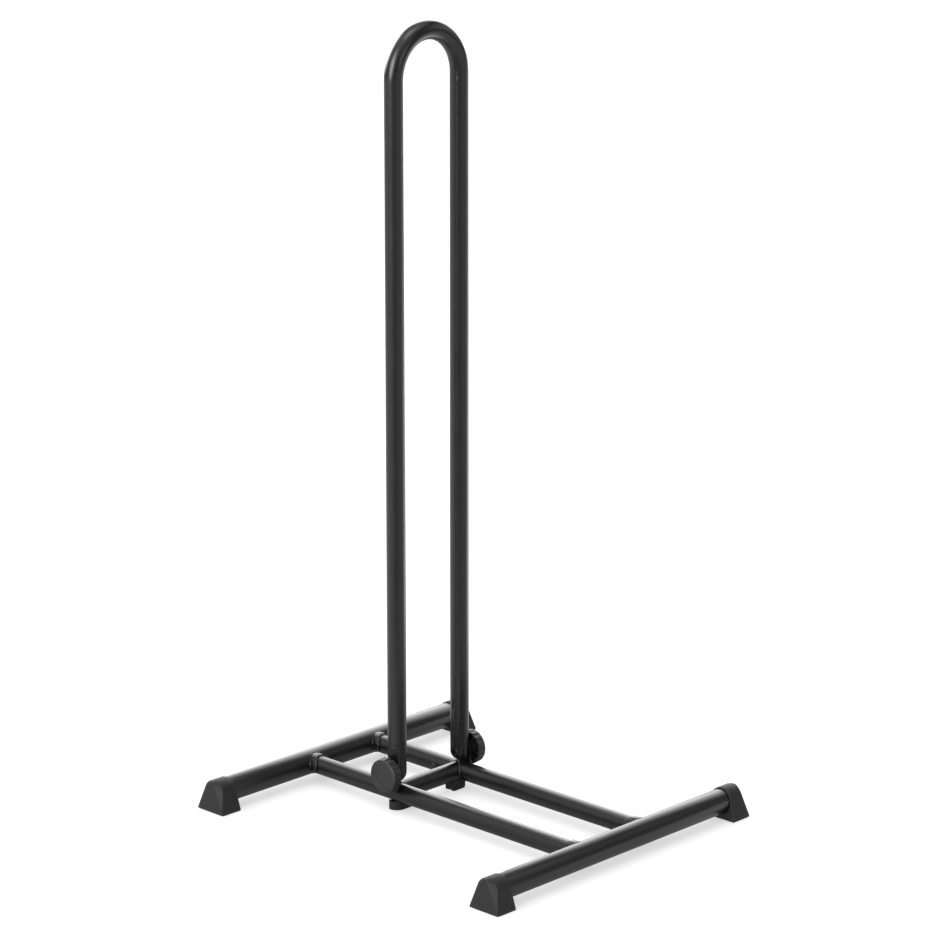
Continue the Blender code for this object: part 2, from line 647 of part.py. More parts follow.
build_base(black_paint, black_rubber, black_plastic)
hoop_axis = build_hoop(black_paint, black_steel)
build_knobs(hoop_axis, black_plastic, insert_brass, black_steel)
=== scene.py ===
"""Looks of the folding bike stand: finer pieces, finishes, floor, light and camera.

Sizes are in metres. +X runs along the crossbars, -Y is the front and +Z is up.
"""
import json
import math

import bmesh
import bpy
from bpy.props import FloatProperty, FloatVectorProperty, IntProperty, PointerProperty
from mathutils import Matrix, Vector


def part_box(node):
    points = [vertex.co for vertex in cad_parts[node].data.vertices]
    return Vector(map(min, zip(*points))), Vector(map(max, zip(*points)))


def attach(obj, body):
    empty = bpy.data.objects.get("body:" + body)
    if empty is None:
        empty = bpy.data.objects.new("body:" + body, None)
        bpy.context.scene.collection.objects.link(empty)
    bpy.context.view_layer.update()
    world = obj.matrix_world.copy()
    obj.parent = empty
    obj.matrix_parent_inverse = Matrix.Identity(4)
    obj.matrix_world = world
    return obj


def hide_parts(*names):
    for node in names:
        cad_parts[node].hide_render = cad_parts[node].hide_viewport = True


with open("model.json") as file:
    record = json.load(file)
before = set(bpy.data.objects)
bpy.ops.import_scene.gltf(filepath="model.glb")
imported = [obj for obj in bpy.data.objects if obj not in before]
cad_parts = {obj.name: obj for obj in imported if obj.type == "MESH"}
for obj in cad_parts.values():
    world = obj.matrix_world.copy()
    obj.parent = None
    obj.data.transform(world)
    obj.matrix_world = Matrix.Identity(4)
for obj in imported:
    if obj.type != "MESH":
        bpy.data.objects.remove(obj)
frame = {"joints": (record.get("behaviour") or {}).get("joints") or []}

bl_info = {
    "name": "Folding Bike Stand",
    "version": (1, 0, 0),
    "blender": (4, 5, 0),
    "location": "3D View > Sidebar > Bike Stand",
    "description": "Models the pieces of a folding bike stand and sets them on a lit stage",
    "category": "Add Mesh",
}

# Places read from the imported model
BAR_LOW, BAR_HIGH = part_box("front_crossbar")
HOOP_LOW, HOOP_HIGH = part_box("wheel_hoop")
FITTING_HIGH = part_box("right_hinge_fitting")[1]
PLATE_LOW, PLATE_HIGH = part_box("right_hinge_plate")
KNOB_LOW, KNOB_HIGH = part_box("right_knob")
WASHER_LOW, WASHER_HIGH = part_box("right_knob_washer")
INSERT_LOW, INSERT_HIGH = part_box("right_knob_insert")
BOLT_LOW, BOLT_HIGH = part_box("right_hinge_bolt")
FOOT_LOW, FOOT_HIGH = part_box("front_right_foot")
PAD_LOW, PAD_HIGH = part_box("right_middle_foot")
PLUG_LOW, PLUG_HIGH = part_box("right_rail_plug")

# The middle of the hinge, on the axis that the hoop folds about
HINGE = Vector(next(joint["pos_m"] for joint in frame["joints"] if joint["name"] == "hoop_fold"))

GAP = 0.0003  # between pieces that touch

# Crossbars, and the thinner tube of the rails, link tube and hoop
BAR_RADIUS = 0.0127
BAR_WALL = 0.0015
BAR_Y = 0.190
BAR_HEIGHT = 0.0185
BAR_EDGE = 0.0004
TUBE_RADIUS = 0.0095
TUBE_WALL = 0.0012
RAIL_RING = 0.02  # from a crossbar or the hinge to the nearest ring of points

# Saddles over the rails' ends, and plugs in the rails' inner sides
SADDLE_RADIUS = 0.0112
SADDLE_WALL = 0.0014
SADDLE_LENGTH = 0.0087
SADDLE_DROP = 0.0055
PLUG_Y = 0.090
PLUG_RADIUS = 0.0018
PLUG_HEAD_RADIUS = 0.0027
PLUG_HEAD_HEIGHT = 0.0009

# End feet, and pads below the hinge
FOOT_TOP_RADIUS = 0.014
FOOT_HALF_WIDTH = 0.0193
FOOT_OUTER_LEAN = 0.0025
FOOT_INNER_LEAN = 0.0024
FOOT_NOSE_DEPTH = 0.0045
FOOT_NOSE_HALF_WIDTH = 0.0186
FOOT_NOSE_RADIUS = 0.0058
FOOT_NOSE_HEIGHT = 0.0258
FOOT_EDGE = 0.0014
SOLE_RIM = 0.0028
SOLE_HOLLOW = 0.0006
PAD_BLANK_HEIGHT = 0.0140
PAD_FRONT_CORNER = 0.010
PAD_REAR_CORNER = 0.0015
PAD_EDGE = 0.0008
PAD_NOTCH = (0.004, 0.005, 0.0009)

# Weld beads
RAIL_WELD_LIFT = 0.0002  # the beads round the rails lie this far outside them
LINK_WELD_INSET = 0.00002  # and those round the link tube this far inside it
WELD_RIPPLE = 0.00022
WELD_RIPPLE_LENGTH = 0.0016

# Hoop, its crimps and its drop of paint
LEG_X = 0.045
BEND_RADIUS = LEG_X
BEND_HEIGHT = HOOP_HIGH.z - TUBE_RADIUS - BEND_RADIUS
LEG_RINGS = (0.004, 0.03)  # above the leg's end
LEG_MIDDLE_RING = 0.3
CRIMP_RADIUS = 0.0032
CRIMP_Z = 0.0853
DROP_RADIUS = 0.0026
DROP_HEIGHT = 0.0009
DROP_RUN = (0.8, 2.4)  # the run above the drop is narrower, and longer
DROP_AZIMUTH = -143
DROP_Z = 0.7285

# Hinge fittings and bolts
SEAM_HEIGHT = 0.0705
SPIGOT_CHAMFER = 0.001
FLAT_X = 0.0062
FLAT_TOP = SEAM_HEIGHT - 0.0038
PLATE_EDGE = 0.0004
BOLT_RADIUS = 0.003
BOLT_HEAD_RADIUS = 0.0047
BOLT_HEAD_LENGTH = 0.0045
BOLT_CHAMFER = 0.0006
SOCKET_FLATS = 0.005
SOCKET_DEPTH = 0.0025

# Knobs, their bushes and washers
KNOB_RADIUS = 0.0173
KNOB_BACK_RADIUS = 0.0181
KNOB_FRONT_WALL = 0.0026
KNOB_RIM_WALL = 0.0010
KNOB_EDGE_WIDTH = 0.0035
KNOB_EDGE_DEPTH = 0.0012
KNOB_RING_WIDTH = 0.0014  # round the sunk middle of the face
KNOB_RING_STEP = 0.0003
KNOB_RIB_WIDTH = 0.0013
KNOB_RIB_SHARE = 0.55  # of the hollow's depth
FLUTE_FLOOR_RADIUS = 0.0169
KNOB_HUB_RADIUS = 0.0078
HUB_X = 0.0109
INSERT_RADIUS = 0.0055
WASHER_RADIUS = 0.0065

# How each axis lies for a primitive, whose own axis is Z
ALONG = {"X": (0.0, math.pi / 2, 0.0), "Y": (-math.pi / 2, 0.0, 0.0), "Z": (0.0, 0.0, 0.0)}
SIDES = {"left": -1, "right": 1}
ENDS = {"front": -1, "rear": 1}
CORNERS = [(f"{end}_{side}", sign, toward)
           for end, toward in ENDS.items() for side, sign in SIDES.items()]
WELD = 0.000002  # points nearer than this are one point
SLIVER = 0.00001  # the same for points that cuts have left
MARGIN = 0.002  # cutters stand this far out of what they cut


# Working on one piece at a time

def nothing_selected():
    bpy.ops.object.select_all(action="DESELECT")


def only(piece):
    """Make one piece the selected and active one."""
    nothing_selected()
    bpy.context.view_layer.objects.active = piece
    piece.select_set(True)


def settled(piece):
    """Move the piece's place, turn and scale into its mesh."""
    only(piece)
    bpy.ops.object.transform_apply(location=True, rotation=True, scale=True)
    return piece


def fresh(name):
    """The primitive that was just added, named and settled."""
    piece = bpy.context.active_object
    piece.name = piece.data.name = name
    return settled(piece)


def circle(name, radius, axis, centre, sides, fill="NOTHING"):
    nothing_selected()
    bpy.ops.mesh.primitive_circle_add(vertices=sides, radius=radius, fill_type=fill,
                                      location=centre, rotation=ALONG[axis])
    return fresh(name)


def cylinder(radius, length, axis, centre, sides=128):
    nothing_selected()
    bpy.ops.mesh.primitive_cylinder_add(vertices=sides, radius=radius, depth=length,
                                        location=centre, rotation=ALONG[axis])
    return fresh("cutter")


def ball(name, radius, segments, rings, centre=(0.0, 0.0, 0.0), axis="Z"):
    nothing_selected()
    bpy.ops.mesh.primitive_uv_sphere_add(segments=segments, ring_count=rings, radius=radius,
                                         location=centre, rotation=ALONG[axis])
    return fresh(name)


def plane(name, size, centre=(0.0, 0.0, 0.0)):
    nothing_selected()
    bpy.ops.mesh.primitive_plane_add(size=size, location=centre)
    return fresh(name)


def block(name, size, centre):
    nothing_selected()
    bpy.ops.mesh.primitive_cube_add(size=1.0, location=centre, scale=size)
    return fresh(name)


def edit(piece):
    only(piece)
    bpy.ops.object.mode_set(mode="EDIT")


def done():
    bpy.ops.object.mode_set(mode="OBJECT")


def pick(kind, test=None):
    """Select the points, edges or faces of the piece in edit mode that pass a test."""
    bpy.ops.mesh.select_mode(type=kind)
    bpy.ops.mesh.select_all(action="DESELECT")
    mesh = bmesh.from_edit_mesh(bpy.context.active_object.data)
    for item in {"VERT": mesh.verts, "EDGE": mesh.edges, "FACE": mesh.faces}[kind]:
        if test is None or test(item):
            item.select_set(True)
    mesh.select_flush_mode()
    bmesh.update_edit_mesh(bpy.context.active_object.data)


def disc(name, radius, x, sides):
    """The filled circle that a piece along X starts from, in edit mode with its face picked."""
    piece = circle(name, radius, "X", (x, 0, 0), sides, "NGON")
    edit(piece)
    pick("FACE")
    return piece


def every(item, test):
    """Whether all the points of an edge or face pass a test."""
    return all(test(point.co) for point in item.verts)


def run(edge, axis):
    """How far an edge runs along an axis."""
    first, second = (getattr(point.co, axis) for point in edge.verts)
    return abs(first - second)


def extrude(x=0.0, y=0.0, z=0.0):
    bpy.ops.mesh.extrude_region_move(TRANSFORM_OT_translate={"value": (x, y, z)})


def resize(value, centre):
    bpy.ops.transform.resize(value=value, center_override=centre)


def bevel(width, segments, clamp=False):
    bpy.ops.mesh.bevel(offset=width, segments=segments, profile=0.5, affect="EDGES",
                       clamp_overlap=clamp)


def outward():
    """Merge doubles and point all faces outwards, in edit mode."""
    pick("VERT")
    bpy.ops.mesh.remove_doubles(threshold=WELD)
    bpy.ops.mesh.normals_make_consistent(inside=False)


def sealed():
    """Close the work on a piece in edit mode."""
    outward()
    done()


def modified(piece, kind, **settings):
    """Give the piece a modifier and apply it."""
    only(piece)
    modifier = piece.modifiers.new("shape", kind)
    for name, value in settings.items():
        setattr(modifier, name, value)
    bpy.ops.object.modifier_apply(modifier=modifier.name)
    return piece


def dropped(piece):
    bpy.data.objects.remove(piece, do_unlink=True)


def combined(piece, other, operation="DIFFERENCE"):
    """Cut another shape out of the piece, or join or intersect them, and drop the other shape."""
    modified(piece, "BOOLEAN", operation=operation, solver="EXACT", object=other)
    dropped(other)
    return piece


def bored(piece, radius, length, axis, centre, sides=128):
    """Cut room for a round piece of the given radius, with the gap round it."""
    combined(piece, cylinder(radius + GAP, length, axis, centre, sides))


def walled(piece, wall):
    return modified(piece, "SOLIDIFY", thickness=wall, offset=-1.0, use_even_offset=True)


def edged(piece, width, angle=50.0):
    """Round the piece's sharp edges a little."""
    return modified(piece, "BEVEL", width=width, segments=2, limit_method="ANGLE",
                    angle_limit=math.radians(angle), use_clamp_overlap=False)


def tube(name, radius, axis, stations, wall, sides):
    """A hollow tube drawn out from a circle, through stations along one axis."""
    step = {"X": Vector((1, 0, 0)), "Y": Vector((0, 1, 0))}[axis]
    piece = circle(name, radius, axis, step * stations[0], sides)
    edit(piece)
    pick("VERT")
    for before, after in zip(stations, stations[1:]):
        extrude(*(step * (after - before)))
    sealed()
    return walled(piece, wall)


def finish_piece(piece, slot, body, *nodes, angle=32.0):
    """Clean, shade, paint and mount a piece that is in its place."""
    edit(piece)
    pick("VERT")
    bpy.ops.mesh.remove_doubles(threshold=SLIVER)
    bpy.ops.mesh.dissolve_degenerate(threshold=SLIVER)
    bpy.ops.mesh.normals_make_consistent(inside=False)
    done()
    bpy.ops.object.shade_smooth_by_angle(angle=math.radians(angle))
    piece.data.materials.clear()
    piece.data.materials.append(finish_of(slot))
    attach(piece, body)
    if nodes:
        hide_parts(*nodes)


def set_copies(master, suffix, slot, rows):
    """Finish a copy of the piece for each node, body, place and way, and drop the master.

    The master faces +X or +Y. A copy whose way is negative is turned half round.
    """
    for node, body, place, way in rows:
        only(master)
        bpy.ops.object.duplicate(linked=False)
        piece = bpy.context.active_object
        piece.name = piece.data.name = f"{node}_{suffix}"
        piece.rotation_euler = (0.0, 0.0, 0.0 if way > 0 else math.pi)
        piece.location = place
        finish_piece(settled(piece), slot, body, node)
    dropped(master)


def set_hinge_pair(master, node, suffix, slot, body=None):
    """Set a hinge piece on both sides. The pieces of a knob ride on their own knob."""
    set_copies(master, suffix, slot, [
        (f"{side}_{node}", body or f"{side}_knob", (sign * LEG_X, HINGE.y, HINGE.z), sign)
        for side, sign in SIDES.items()])


# Shader nodes written as sums

class Wire:
    """A node's output that sums can be written with."""

    def __init__(self, nodes, socket):
        self.nodes = nodes
        self.socket = socket

    def sum(self, operation, first, second):
        return self.nodes.node("ShaderNodeMath", {"operation": operation}, {0: first, 1: second})

    def __add__(self, other):
        return self.sum("ADD", self, other)

    def __rsub__(self, other):
        return self.sum("SUBTRACT", other, self)

    def __mul__(self, other):
        return self.sum("MULTIPLY", self, other)

    __radd__ = __add__
    __rmul__ = __mul__


class Nodes:
    """A node tree that is filled by writing sums."""

    def __init__(self, tree):
        self.tree = tree

    def node(self, kind, settings=None, inputs=None, output=0):
        """Add a node. Its settings come first, then its sockets' values and links."""
        node = self.tree.nodes.new(kind)
        for name, value in (settings or {}).items():
            if name == "stops":
                self.set_stops(node.color_ramp, value)
            else:
                setattr(node, name, value)
        for name, value in (inputs or {}).items():
            self.feed(node.inputs[name], value)
        return Wire(self, node.outputs[output])

    def feed(self, socket, value):
        if isinstance(value, Wire):
            self.tree.links.new(value.socket, socket)
        else:
            socket.default_value = value

    def set_stops(self, ramp, stops):
        while len(ramp.elements) < len(stops):
            ramp.elements.new(1.0)
        for element, (place, shade) in zip(ramp.elements, stops):
            element.position = place
            element.color = (*grey(shade), 1.0)

    def place(self):
        return self.node("ShaderNodeTexCoord", output="Object")

    def height(self):
        return self.node("ShaderNodeSeparateXYZ", {}, {"Vector": self.place()}, output="Z")

    def noise(self, size, detail=2.0, roughness=0.5):
        """A noise from 0 to 1 whose grain has about the given size."""
        return self.node("ShaderNodeTexNoise", {}, {"Vector": self.place(), "Scale": 1.0 / size,
                                                    "Detail": detail, "Roughness": roughness})

    def ramp(self, value, stops):
        return self.node("ShaderNodeValToRGB", {"stops": stops}, {"Fac": value})

    def mixed(self, factor, first, second):
        """One colour where the factor is 0 and the other where it is 1."""
        return self.node("ShaderNodeMix", {"data_type": "RGBA"},
                         {"Factor": factor, 6: (*first, 1.0), 7: (*second, 1.0)}, output=2)

    def bump(self, value, depth):
        return self.node("ShaderNodeBump", {}, {"Height": value, "Distance": depth}, "Normal")

    def vector(self, operation, *vectors, output="Value"):
        return self.node("ShaderNodeVectorMath", {"operation": operation},
                         dict(enumerate(vectors)), output)

    def toward(self, way, aim):
        """How well one direction points along another, from -1 to 1."""
        return self.vector("DOT_PRODUCT", way, aim)

    def reach(self):
        """How far a place on the piece is from its origin."""
        return self.vector("LENGTH", self.place())

    def by_ray(self, seen, mirrored, lit):
        """One value for the camera, one for reflections and one for plain light."""
        camera = self.node("ShaderNodeLightPath", output="Is Camera Ray")
        glossy = self.node("ShaderNodeLightPath", output="Is Glossy Ray")
        return camera * seen + glossy * mirrored + (1 - camera) * (1 - glossy) * lit


class Finish(Nodes):
    """A material and the nodes that make it."""

    def __init__(self, name):
        self.material = bpy.data.materials.new(name)
        self.material.use_nodes = True
        super().__init__(self.material.node_tree)
        self.shader = self.tree.nodes["Principled BSDF"]

    def set(self, values):
        """Give the shader's sockets their values and links."""
        for name, value in values.items():
            self.feed(self.shader.inputs[name], value)
        return self.material


# Finishes

def grey(value):
    return (value, value, value)


def lighter(colour, times):
    return [part * times for part in colour]


def powder_coat(name):
    """Smooth black powder coat with a fine orange peel, dull patches and a few specks."""
    looks = bpy.context.scene.bike_stand_looks
    finish = Finish(name)
    peel = finish.noise(0.0011, detail=3.0) + finish.noise(0.0035) * 0.8
    dull = finish.ramp(finish.noise(0.035, detail=4.0, roughness=0.6), [(0.35, 0.0), (0.75, 1.0)])
    specks = finish.ramp(finish.noise(0.0022, detail=1.0), [(0.72, 0.0), (0.78, 1.0)])
    return finish.set({
        "Base Color": finish.mixed(specks * 0.5 + dull * 0.25, looks.paint,
                                   lighter(looks.paint, 1.7)),
        "Roughness": dull * 0.05 + specks * 0.05 + looks.paint_roughness,
        "Normal": finish.bump(peel, depth=0.000007),
    })


def moulded_rubber(name):
    """Matte moulded rubber, a little dusty at the floor."""
    looks = bpy.context.scene.bike_stand_looks
    finish = Finish(name)
    grain = finish.noise(0.0007, detail=3.0, roughness=0.6)
    bloom = finish.noise(0.012, detail=4.0, roughness=0.6)
    dust = finish.ramp(finish.height(), [(0.0, 1.0), (0.0045, 0.0)]) * (0.4 + bloom)
    return finish.set({
        "Base Color": finish.mixed(dust * 0.6 + bloom * 0.2, looks.rubber,
                                   lighter(looks.rubber, 2.6)),
        "Roughness": bloom * 0.12 + looks.rubber_roughness,
        "Specular IOR Level": 0.3,
        "Normal": finish.bump(grain, depth=0.00003),
    })


def moulded_plastic(name):
    """Matte black plastic with the fine grain of its mould."""
    looks = bpy.context.scene.bike_stand_looks
    finish = Finish(name)
    grain = finish.noise(0.0005, roughness=0.7)
    patches = finish.noise(0.009, detail=3.0)
    return finish.set({
        "Base Color": finish.mixed(patches * 0.5, looks.plastic, lighter(looks.plastic, 1.4)),
        "Roughness": patches * 0.08 + looks.plastic_roughness,
        "Normal": finish.bump(grain, depth=0.00002),
    })


def blackened_steel(name):
    """Oiled black steel, mottled by the bath that blackened it."""
    finish = Finish(name)
    mottle = finish.noise(0.0016, detail=4.0, roughness=0.6)
    return finish.set({
        "Base Color": finish.mixed(mottle, grey(0.018), grey(0.06)),
        "Roughness": mottle * 0.2 + 0.28,
        "Metallic": 0.85,
        "Normal": finish.bump(finish.noise(0.0003), depth=0.000006),
    })


def turned_brass(name):
    """Bare brass, a little darker in patches."""
    finish = Finish(name)
    mottle = finish.noise(0.0012, detail=3.0)
    return finish.set({
        "Base Color": finish.mixed(mottle, (0.52, 0.35, 0.12), (0.68, 0.5, 0.22)),
        "Roughness": mottle * 0.15 + 0.25,
        "Metallic": 1.0,
        "Normal": finish.bump(finish.noise(0.0003, detail=1.0), depth=0.000005),
    })


# The finish of each material slot
FINISHES = {
    "black_paint": ("black_powder_coat", powder_coat),
    "rubber_feet": ("black_moulded_rubber", moulded_rubber),
    "knob_plastic": ("black_moulded_plastic", moulded_plastic),
    "plug_plastic": ("black_moulded_plastic", moulded_plastic),
    "black_bolts": ("blackened_steel", blackened_steel),
    "washer_steel": ("blackened_steel", blackened_steel),
    "insert_brass": ("turned_brass", turned_brass),
}


def finish_of(slot):
    """The slot's material, made when it is first needed."""
    name, make = FINISHES[slot]
    return bpy.data.materials.get(name) or make(name)


# What a user may change

DISTANCE = {"min": 0.0, "subtype": "DISTANCE", "unit": "LENGTH"}
COLOUR = {"min": 0.0, "max": 1.0, "subtype": "COLOR", "size": 3}
SHARE = {"min": 0.0, "max": 1.0, "subtype": "FACTOR"}


class BikeStandSizes(bpy.types.PropertyGroup):
    """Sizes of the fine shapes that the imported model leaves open."""
    tube_sides: IntProperty(
        name="Tube sides", description="Faces round a tube", default=96, min=24, max=192)
    bend_steps: IntProperty(
        name="Bend steps", description="Steps round the hoop's bend", default=96, min=16)
    weld_bead: FloatProperty(
        name="Weld bead", description="Half the width of a weld bead", default=0.0011, **DISTANCE)
    saddle_bead: FloatProperty(
        name="Saddle bead", description="Half the width of the beads at saddles and plates",
        default=0.0007, **DISTANCE)
    edge: FloatProperty(
        name="Edge radius", description="Rounding of cut metal edges", default=0.0003, **DISTANCE)
    flutes: IntProperty(name="Flutes", description="Flutes round a knob", default=16, min=6)
    flute_depth: FloatProperty(
        name="Flute depth", description="Depth of a knob's flutes before its side is turned",
        default=0.0014, **DISTANCE)
    ribs: IntProperty(
        name="Knob ribs", description="Ribs in the hollow back of a knob", default=8, min=0)
    crimp: FloatProperty(
        name="Crimp depth", description="Depth of the crimps that hold the hinge fittings",
        default=0.0005, **DISTANCE)


class BikeStandLooks(bpy.types.PropertyGroup):
    """Colours and roughnesses of the finishes."""
    paint: FloatVectorProperty(
        name="Paint", description="Colour of the powder coat", default=grey(0.008), **COLOUR)
    rubber: FloatVectorProperty(
        name="Rubber", description="Colour of the feet", default=grey(0.018), **COLOUR)
    plastic: FloatVectorProperty(
        name="Plastic", description="Colour of the knobs and plugs", default=grey(0.019), **COLOUR)
    paint_roughness: FloatProperty(
        name="Paint roughness", description="How matte the powder coat is", default=0.27, **SHARE)
    rubber_roughness: FloatProperty(
        name="Rubber roughness", description="How matte the feet are", default=0.52, **SHARE)
    plastic_roughness: FloatProperty(
        name="Plastic roughness", description="How matte the knobs are", default=0.48, **SHARE)


# Base

class BIKESTAND_OT_crossbars(bpy.types.Operator):
    """Draw the two crossbars as hollow tubes"""
    bl_idname = "bike_stand.crossbars"
    bl_label = "Crossbars"

    def execute(self, context):
        sides = context.scene.bike_stand_sizes.tube_sides
        stations = [BAR_LOW.x, -LEG_X, LEG_X, BAR_HIGH.x]
        master = tube("crossbar", BAR_RADIUS, "X", stations, BAR_WALL, sides)
        edged(master, BAR_EDGE, angle=60.0)
        set_copies(master, "tube", "black_paint", [
            (f"{end}_crossbar", "base", (0, toward * BAR_Y, BAR_HEIGHT), 1)
            for end, toward in ENDS.items()])
        return {"FINISHED"}


def foot_loop(x, half_width, radius, height, lean):
    """The foot's outline at one place along it: flat sole, straight sides, round top, leaning."""
    tangent = (math.atan2(-height, half_width)
               + math.acos(radius / math.hypot(half_width, height)))
    lowest = height + radius * math.sin(tangent) - WELD
    piece = circle("end_foot", radius, "X", (x, 0, height), 128)
    edit(piece)
    pick("VERT", lambda point: point.co.z < lowest)
    bpy.ops.mesh.delete(type="VERT")
    for side in (-1, 1):
        pick("VERT", lambda point: len(point.link_edges) == 1 and point.co.y * side > 0
             and point.co.z > WELD)
        mesh = bmesh.from_edit_mesh(piece.data)
        start = next(point.co.copy() for point in mesh.verts if point.select)
        extrude(0, side * half_width - start.y, -start.z)
    pick("VERT", lambda point: len(point.link_edges) == 1)
    bpy.ops.mesh.edge_face_add()
    pick("VERT")
    bpy.ops.transform.rotate(value=-math.atan2(lean, height + radius), orient_axis="Y",
                             center_override=(x, 0, 0))
    done()
    return piece


class BIKESTAND_OT_end_feet(bpy.types.Operator):
    """Mould the four feet on the crossbars' ends"""
    bl_idname = "bike_stand.end_feet"
    bl_label = "End feet"

    def execute(self, context):
        outer = FOOT_HIGH.x
        inner = FOOT_LOW.x
        shoulder = outer - FOOT_NOSE_DEPTH
        middle = (outer + inner) / 2
        master = foot_loop(inner, FOOT_HALF_WIDTH, FOOT_TOP_RADIUS, BAR_HEIGHT, FOOT_INNER_LEAN)
        full = foot_loop(shoulder, FOOT_HALF_WIDTH, FOOT_TOP_RADIUS, BAR_HEIGHT,
                         -FOOT_OUTER_LEAN)
        nose = foot_loop(outer, FOOT_NOSE_HALF_WIDTH, FOOT_NOSE_RADIUS, FOOT_NOSE_HEIGHT,
                         -FOOT_OUTER_LEAN)
        only(master)
        full.select_set(True)
        nose.select_set(True)
        bpy.ops.object.join()
        edit(master)
        pick("EDGE", lambda edge: every(edge, lambda p: p.x < shoulder + WELD))
        bpy.ops.mesh.bridge_edge_loops()
        pick("EDGE", lambda edge: every(edge, lambda p: p.x > shoulder - FOOT_OUTER_LEAN - WELD))
        bpy.ops.mesh.bridge_edge_loops()
        for end in (-1, 1):
            pick("EDGE", lambda edge: len(edge.link_faces) == 1
                 and every(edge, lambda p: (p.x - middle) * end > 0))
            bpy.ops.mesh.edge_face_add()
        outward()

        # The seam across the sole goes, and the ends' rims and the sole's sides are rounded
        pick("EDGE", lambda edge: run(edge, "x") < WELD and every(
            edge, lambda p: shoulder - WELD < p.x < outer - WELD and p.z < WELD))
        bpy.ops.mesh.dissolve_edges(use_verts=False)
        pick("EDGE", lambda edge: every(edge, lambda p: p.x < middle)
             or every(edge, lambda p: p.z < WELD) and run(edge, "x") > WELD
             or sum(face.normal.x > 0.9 for face in edge.link_faces) == 1)
        bevel(FOOT_EDGE, 5)
        pick("FACE", lambda face: face.normal.z < -0.99)
        bpy.ops.mesh.inset(thickness=SOLE_RIM, depth=-SOLE_HOLLOW)
        sealed()
        pocket = outer - inner + MARGIN
        bored(master, BAR_RADIUS, pocket, "X", (BAR_HIGH.x + GAP - pocket / 2, 0, BAR_HEIGHT))
        set_copies(master, "moulding", "rubber_feet", [
            (f"{corner}_foot", "base", (0, toward * BAR_Y, 0), sign)
            for corner, sign, toward in CORNERS])
        return {"FINISHED"}


class BIKESTAND_OT_rails(bpy.types.Operator):
    """Draw the two rails, coped to the crossbars and drilled for their plugs"""
    bl_idname = "bike_stand.rails"
    bl_label = "Rails"

    def execute(self, context):
        sides = context.scene.bike_stand_sizes.tube_sides
        stations = [-BAR_Y, -BAR_Y + RAIL_RING, HINGE.y - RAIL_RING, HINGE.y + RAIL_RING,
                    BAR_Y - RAIL_RING, BAR_Y]
        for side, sign in SIDES.items():
            piece = tube(f"{side}_rail_tube", TUBE_RADIUS, "Y", stations, TUBE_WALL, sides)
            for toward in ENDS.values():
                bored(piece, BAR_RADIUS, 4 * TUBE_RADIUS, "X", (0, toward * BAR_Y, 0))
            bored(piece, PLUG_RADIUS, TUBE_RADIUS, "X", (-sign * TUBE_RADIUS, PLUG_Y, 0), 48)
            piece.location = (sign * LEG_X, 0, BAR_HEIGHT)
            finish_piece(settled(piece), "black_paint", "base", f"{side}_rail")
        return {"FINISHED"}


class BIKESTAND_OT_link_tube(bpy.types.Operator):
    """Draw the tube between the rails, coped to both"""
    bl_idname = "bike_stand.link_tube"
    bl_label = "Link tube"

    def execute(self, context):
        sides = context.scene.bike_stand_sizes.tube_sides
        stations = [-LEG_X, -LEG_X / 2, LEG_X / 2, LEG_X]
        piece = tube("rail_link_tube_coped", TUBE_RADIUS, "X", stations, TUBE_WALL, sides)
        for sign in SIDES.values():
            bored(piece, TUBE_RADIUS, 4 * TUBE_RADIUS, "Y", (sign * LEG_X, 0, 0))
        piece.location = (0, HINGE.y, BAR_HEIGHT)
        finish_piece(settled(piece), "black_paint", "base", "rail_link_tube")
        return {"FINISHED"}


class BIKESTAND_OT_rail_saddles(bpy.types.Operator):
    """Form the saddles over the rails' ends"""
    bl_idname = "bike_stand.rail_saddles"
    bl_label = "Rail saddles"

    def execute(self, context):
        sizes = context.scene.bike_stand_sizes
        master = tube("rail_saddle", SADDLE_RADIUS, "Y", [0, SADDLE_LENGTH + BAR_RADIUS],
                      SADDLE_WALL, sizes.tube_sides)
        width = 4 * SADDLE_RADIUS
        bored(master, BAR_RADIUS, width, "X", (0, 0, 0))
        combined(master, cylinder(BAR_RADIUS, width, "X", (0, SADDLE_LENGTH, 0)), "INTERSECT")
        below = 2 * SADDLE_RADIUS
        combined(master, block("cutter", (width, 6 * SADDLE_RADIUS, below),
                               (0, 0, -SADDLE_DROP - below / 2)))
        edged(master, sizes.edge)
        set_copies(master, "shell", "black_paint", [
            (f"{corner}_rail_saddle", "base", (sign * LEG_X, toward * BAR_Y, BAR_HEIGHT), -toward)
            for corner, sign, toward in CORNERS])
        return {"FINISHED"}


class BIKESTAND_OT_rail_plugs(bpy.types.Operator):
    """Mould the plugs in the rails' inner sides"""
    bl_idname = "bike_stand.rail_plugs"
    bl_label = "Rail plugs"

    def execute(self, context):
        seat = TUBE_RADIUS + GAP
        dome = (PLUG_HEAD_RADIUS ** 2 + PLUG_HEAD_HEIGHT ** 2) / (2 * PLUG_HEAD_HEIGHT)
        master = ball("rail_plug", dome, 48, 64, (seat + PLUG_HEAD_HEIGHT - dome, 0, 0), "X")
        edit(master)
        pick("FACE")
        bpy.ops.mesh.bisect(plane_co=(seat, 0, 0), plane_no=(-1, 0, 0), use_fill=True,
                            clear_outer=True)
        pick("FACE", lambda face: face.normal.x < -0.99)
        bpy.ops.mesh.inset(thickness=PLUG_HEAD_RADIUS - PLUG_RADIUS)
        extrude(PLUG_HEAD_HEIGHT - (PLUG_HIGH.x - PLUG_LOW.x))
        sealed()
        set_copies(master, "moulding", "plug_plastic", [
            (f"{side}_rail_plug", "base", (sign * LEG_X, PLUG_Y, BAR_HEIGHT), -sign)
            for side, sign in SIDES.items()])
        return {"FINISHED"}


